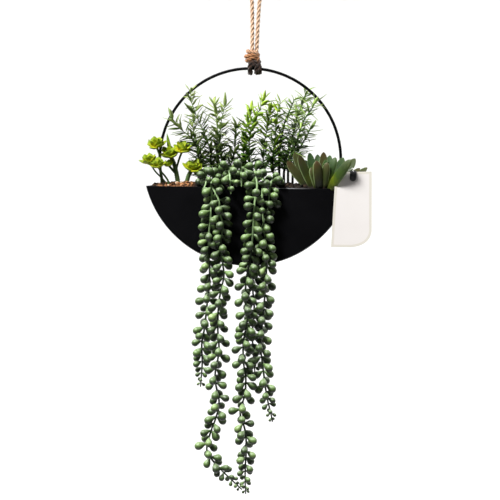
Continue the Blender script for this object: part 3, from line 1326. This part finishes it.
class PLANTER_OT_agave(bpy.types.Operator):
    """Make the large rosette of keeled leaves"""

    bl_idname = "planter.agave"
    bl_label = "Large rosette"

    def execute(self, context):
        """Leaves around the heart, each from a root 0.3 of its way out.

        Its line is root + chord t + rise t (1 - t), with a rise of 0.24 of the chord's length.
        Half width: min(1, 0.85 + 0.4 t) (1 - t^8)^0.65, with a channelled face and a round
        back.
        """
        rng = np.random.default_rng(context.scene.planter_sizes.seed + 5)
        table, heart = np.array(AGAVE_LEAVES, float), np.array(AGAVE_HEART, float)
        root = heart + 0.3 * (table[:, :3] - heart) * [1, 0.6, 0]
        chord = table[:, :3] - root
        side = unit(unit(np.cross(Y_AXIS, chord)) - 0.45 * unit(np.cross(Z_AXIS, chord)))
        up = unit(np.cross(side, chord))
        up *= -np.sign(up[:, 2:])
        rise = 0.24 * np.linalg.norm(chord, axis=1, keepdims=True) * up
        columns, quads, tris, values = leaf_template(
            [0.03, 0.1, 0.2, 0.32, 0.44, 0.56, 0.68, 0.78, 0.87, 0.94, 0.985],
            lambda t: np.minimum(1, 0.85 + 0.4 * t) * (1 - t ** 8) ** 0.65,
            lambda t: (1 - 0.35 * t) * (1 - t ** 6) ** 0.5, 14,
            keep=("along", "edge", "upper"))
        channelled = columns[:, 1] * 0.12 + 0.35 * columns[:, 0] ** 2
        columns[:, 1] = np.where(values.pop("upper") > 0, channelled, columns[:, 1])
        half = 0.6 * table[:, 3:4]
        surface = Surface()
        surface.scatter((columns, quads, tris, values),
                        leaf_basis(side * half, -up * half * 0.62, chord + rise, -rise), root,
                        red=np.clip(table[:, 4] + rng.normal(0, 0.05, len(table)), 0, 1))
        stem = smooth_path(rooted([heart + [0, 0, 3]]), 1.5)
        surface.tube(stem, np.linspace(3, 5, len(stem)), 12, along=0.3, edge=0.0, red=0.6)
        skin = agave_leaf("thick_leaf_skin", context.scene.planter_colours.agave)
        surface.piece("large_rosette_leaves", skin, ["agave_rosette"])
        return {"FINISHED"}


class PLANTER_OT_tag(bpy.types.Operator):
    """Make the blank card tag with its ribbon and thread"""

    bl_idname = "planter.tag"
    bl_label = "Tag"

    def execute(self, context):
        self.card(context.scene.planter_colours)
        self.ribbon()
        thread = Surface()
        thread.tube(smooth_path(TAG_TIE, 0.8, closed=True), 0.5, 8, Z_AXIS, closed=True)
        thread.piece("tag_thread", clear_thread("nylon_thread"), ["tag_tie"])
        return {"FINISHED"}

    def card(self, own):
        """Outline drawn in towards the middle on both faces, 0.6 mm apart, slightly curled.

        'inset' is each point's distance from the nearest side of the outline.
        """
        outline, middle = self.outline(), np.array(TAG_MIDDLE)
        share = np.r_[np.linspace(0.04, 0.8, 12), np.linspace(0.84, 1, 14)][:, None, None]
        flat = middle + share * (outline - middle)
        run = np.roll(outline, -1, 0) - outline
        offset = flat[..., None, :] - outline
        along = np.clip((offset * run).sum(-1) / (run ** 2).sum(-1), 0, 1)
        inset = np.linalg.norm(offset - along[..., None] * run, axis=-1).min(-1)
        x, z = flat[..., 0], flat[..., 1]
        curl = TAG_DEPTH - 0.5 * ((x - TAG_MIDDLE[0]) / 27) ** 2
        surface = Surface()
        surface.rings(np.concatenate([grid_of(x, curl - 0.3, z), grid_of(x, curl + 0.3, z)[::-1]]),
                      inset=np.concatenate([inset, inset[::-1]]))
        surface.piece("tag_card", tag_card("blank_card", own.card, own.border),
                      ["blank_tag"], sharp=0.6)

    def outline(self):
        """Straight sides and one quadratic rounded corner, walked at even steps."""
        lower_left, upper_left, upper_right, bend_top, bend_end = np.array(TAG_OUTLINE, float)
        t = np.linspace(0, 1, 24)[:, None]
        corner = ((1 - t) ** 2 * bend_top + 2 * t * (1 - t) * np.array(TAG_CORNER)
                  + t ** 2 * bend_end)
        loop = np.vstack([lower_left, upper_left, upper_right, corner, lower_left])
        reach = np.r_[0, np.cumsum(np.linalg.norm(np.diff(loop, axis=0), axis=1))]
        even = np.union1d(np.linspace(0, reach[-1], 180)[:-1], reach[:3])
        return np.stack([np.interp(even, reach, loop[:, k]) for k in range(2)], 1)

    def ribbon(self):
        """A flat band 8.4 mm wide that folds through the slot and over the card's top edge.

        Its section is an ellipse drawn nearly square, and its front end is rounded.
        """
        half_width, half_thickness, spacing, rounding = 4.2, 0.26, 0.5, 3.4
        route = smooth_path(RIBBON, spacing)
        _, normal, other = path_frames(route, X_AXIS)
        angle = around(20)
        wide = half_width * squared(np.cos(angle), 0.35)
        thick = half_thickness * squared(np.sin(angle), 0.7)
        left = np.clip(1 - np.arange(len(route)) * spacing / rounding, 0, 1)
        round_end = np.sqrt(np.clip(1 - left ** 2, 0.02, 1))[:, None]
        surface = Surface()
        surface.rings(route[:, None] + (wide * round_end)[..., None] * normal[:, None]
                      + thick[:, None] * other[:, None])
        surface.piece("tag_ribbon", woven_ribbon("black_ribbon"))


class PLANTER_OT_studio(bpy.types.Operator):
    """Set up the pale sweep, the light and the camera at the photograph's angle"""

    bl_idname = "planter.studio"
    bl_label = "Studio"

    def execute(self, context):
        light = context.scene.planter_light
        self.sweep()
        self.camera(context.scene)
        centre = (np.array([0.0, 0.0, -110.0]) + HOOP_CENTRE) * MM
        self.lamp("key_light", centre + [-1.0, -1.35, 1.9], centre, 0.7, light.key_power, 1.1)
        for side, name in ((-1, "left_wall_light"), (1, "right_wall_light")):
            self.lamp(name, centre + [2.2 * side, 0.6, 1.2], centre + [-0.1 * side, 2.9, 0.1],
                      1.4, light.wall_power)
        world = bpy.data.worlds.new("pale_surroundings")
        world.use_nodes = True
        backdrop = world.node_tree.nodes["Background"]
        backdrop.inputs["Color"].default_value = colour("fafafa")
        backdrop.inputs["Strength"].default_value = light.ambient
        context.scene.world = world
        context.scene.view_settings.view_transform = "Standard"
        return {"FINISHED"}

    def sweep(self):
        """Floor, quarter-round of 1.2 m and wall as one profile along x, in metres."""
        front, bend, radius, floor, top = -4.0, 1.4, 1.2, -1.3, 3.5
        y, z = swing(np.array([0.0, -radius]), np.array([radius, 0.0]),
                     np.linspace(0, np.pi / 2, 24)).T + [[bend], [floor + radius]]
        y, z = np.r_[front, y, bend + radius], np.r_[floor, z, top]
        x = np.array([-5.0, 5.0])[:, None]
        n = len(y)
        faces = [(i, n + i, n + i + 1, i + 1) for i in range(n - 1)]
        mesh = bpy.data.meshes.new("studio_sweep")
        mesh.from_pydata(grid_of(x, y, z).reshape(-1, 3).tolist(), [], faces)
        mesh.polygons.foreach_set("use_smooth", [True] * len(faces))
        mesh.materials.append(studio_white("pale_paper"))
        obj = bpy.data.objects.new("studio_sweep", mesh)
        bpy.context.scene.collection.objects.link(obj)

    def aimed(self, name, data, back, place, roll=0.0):
        """An object at a place that looks against its back vector, rolled by an angle."""
        right = unit(np.cross(Z_AXIS, back))
        up = np.cross(back, right)
        columns = [swing(right, up, roll), swing(up, -right, roll), back]
        matrix = Matrix(np.array(columns).T.tolist()).to_4x4()
        matrix.translation = place
        obj = bpy.data.objects.new(name, data)
        obj.matrix_world = matrix
        bpy.context.scene.collection.objects.link(obj)
        return obj

    def camera(self, scene):
        """Camera 1.5 m in front, 3 degrees to the right and 4.5 above, rolled by 0.8."""
        azimuth, elevation, roll = np.radians(CAMERA_TURN)
        back = swing(swing(-Y_AXIS, X_AXIS, azimuth), Z_AXIS, elevation)
        data = bpy.data.cameras.new("photo_camera")
        data.lens, data.sensor_width = LENS, 36.0
        data.clip_start, data.clip_end = 0.05, 30.0
        scene.camera = self.aimed("photo_camera", data, back, CAMERA_PLACE, roll)

    def lamp(self, name, place, target, size, power, spread=math.pi):
        """A square area light at a place, turned to a target."""
        data = bpy.data.lights.new(name, "AREA")
        data.size, data.energy, data.spread = size, power, spread
        self.aimed(name, data, unit(place - target), place)


class PLANTER_PT_panel(bpy.types.Panel):
    """Lists the planter's pieces"""

    bl_label = "Planter"
    bl_idname = "PLANTER_PT_panel"
    bl_space_type = "VIEW_3D"
    bl_region_type = "UI"
    bl_category = "Planter"

    def draw(self, context):
        for field in GROUPS:
            group = getattr(context.scene, field)
            for key in group.__annotations__:
                self.layout.prop(group, key)
        for operator in OPERATORS:
            self.layout.operator(operator.bl_idname)


OPERATORS = (PLANTER_OT_studio, PLANTER_OT_rope, PLANTER_OT_hoop, PLANTER_OT_pot,
             PLANTER_OT_filling, PLANTER_OT_tails, PLANTER_OT_sprigs, PLANTER_OT_rosettes,
             PLANTER_OT_agave, PLANTER_OT_tag)
GROUPS = {"planter_sizes": PlanterSizes, "planter_colours": PlanterColours,
          "planter_light": PlanterLight}
CLASSES = (*GROUPS.values(), *OPERATORS, PLANTER_PT_panel)


def register():
    for cls in CLASSES:
        bpy.utils.register_class(cls)
    for field, group in GROUPS.items():
        setattr(bpy.types.Scene, field, bpy.props.PointerProperty(type=group))


def unregister():
    for field in GROUPS:
        delattr(bpy.types.Scene, field)
    for cls in reversed(CLASSES):
        bpy.utils.unregister_class(cls)


def main():
    register()
    for operator in OPERATORS:
        name = operator.bl_idname.split(".")[1]
        getattr(bpy.ops.planter, name)()


if __name__ == "__main__":
    main()
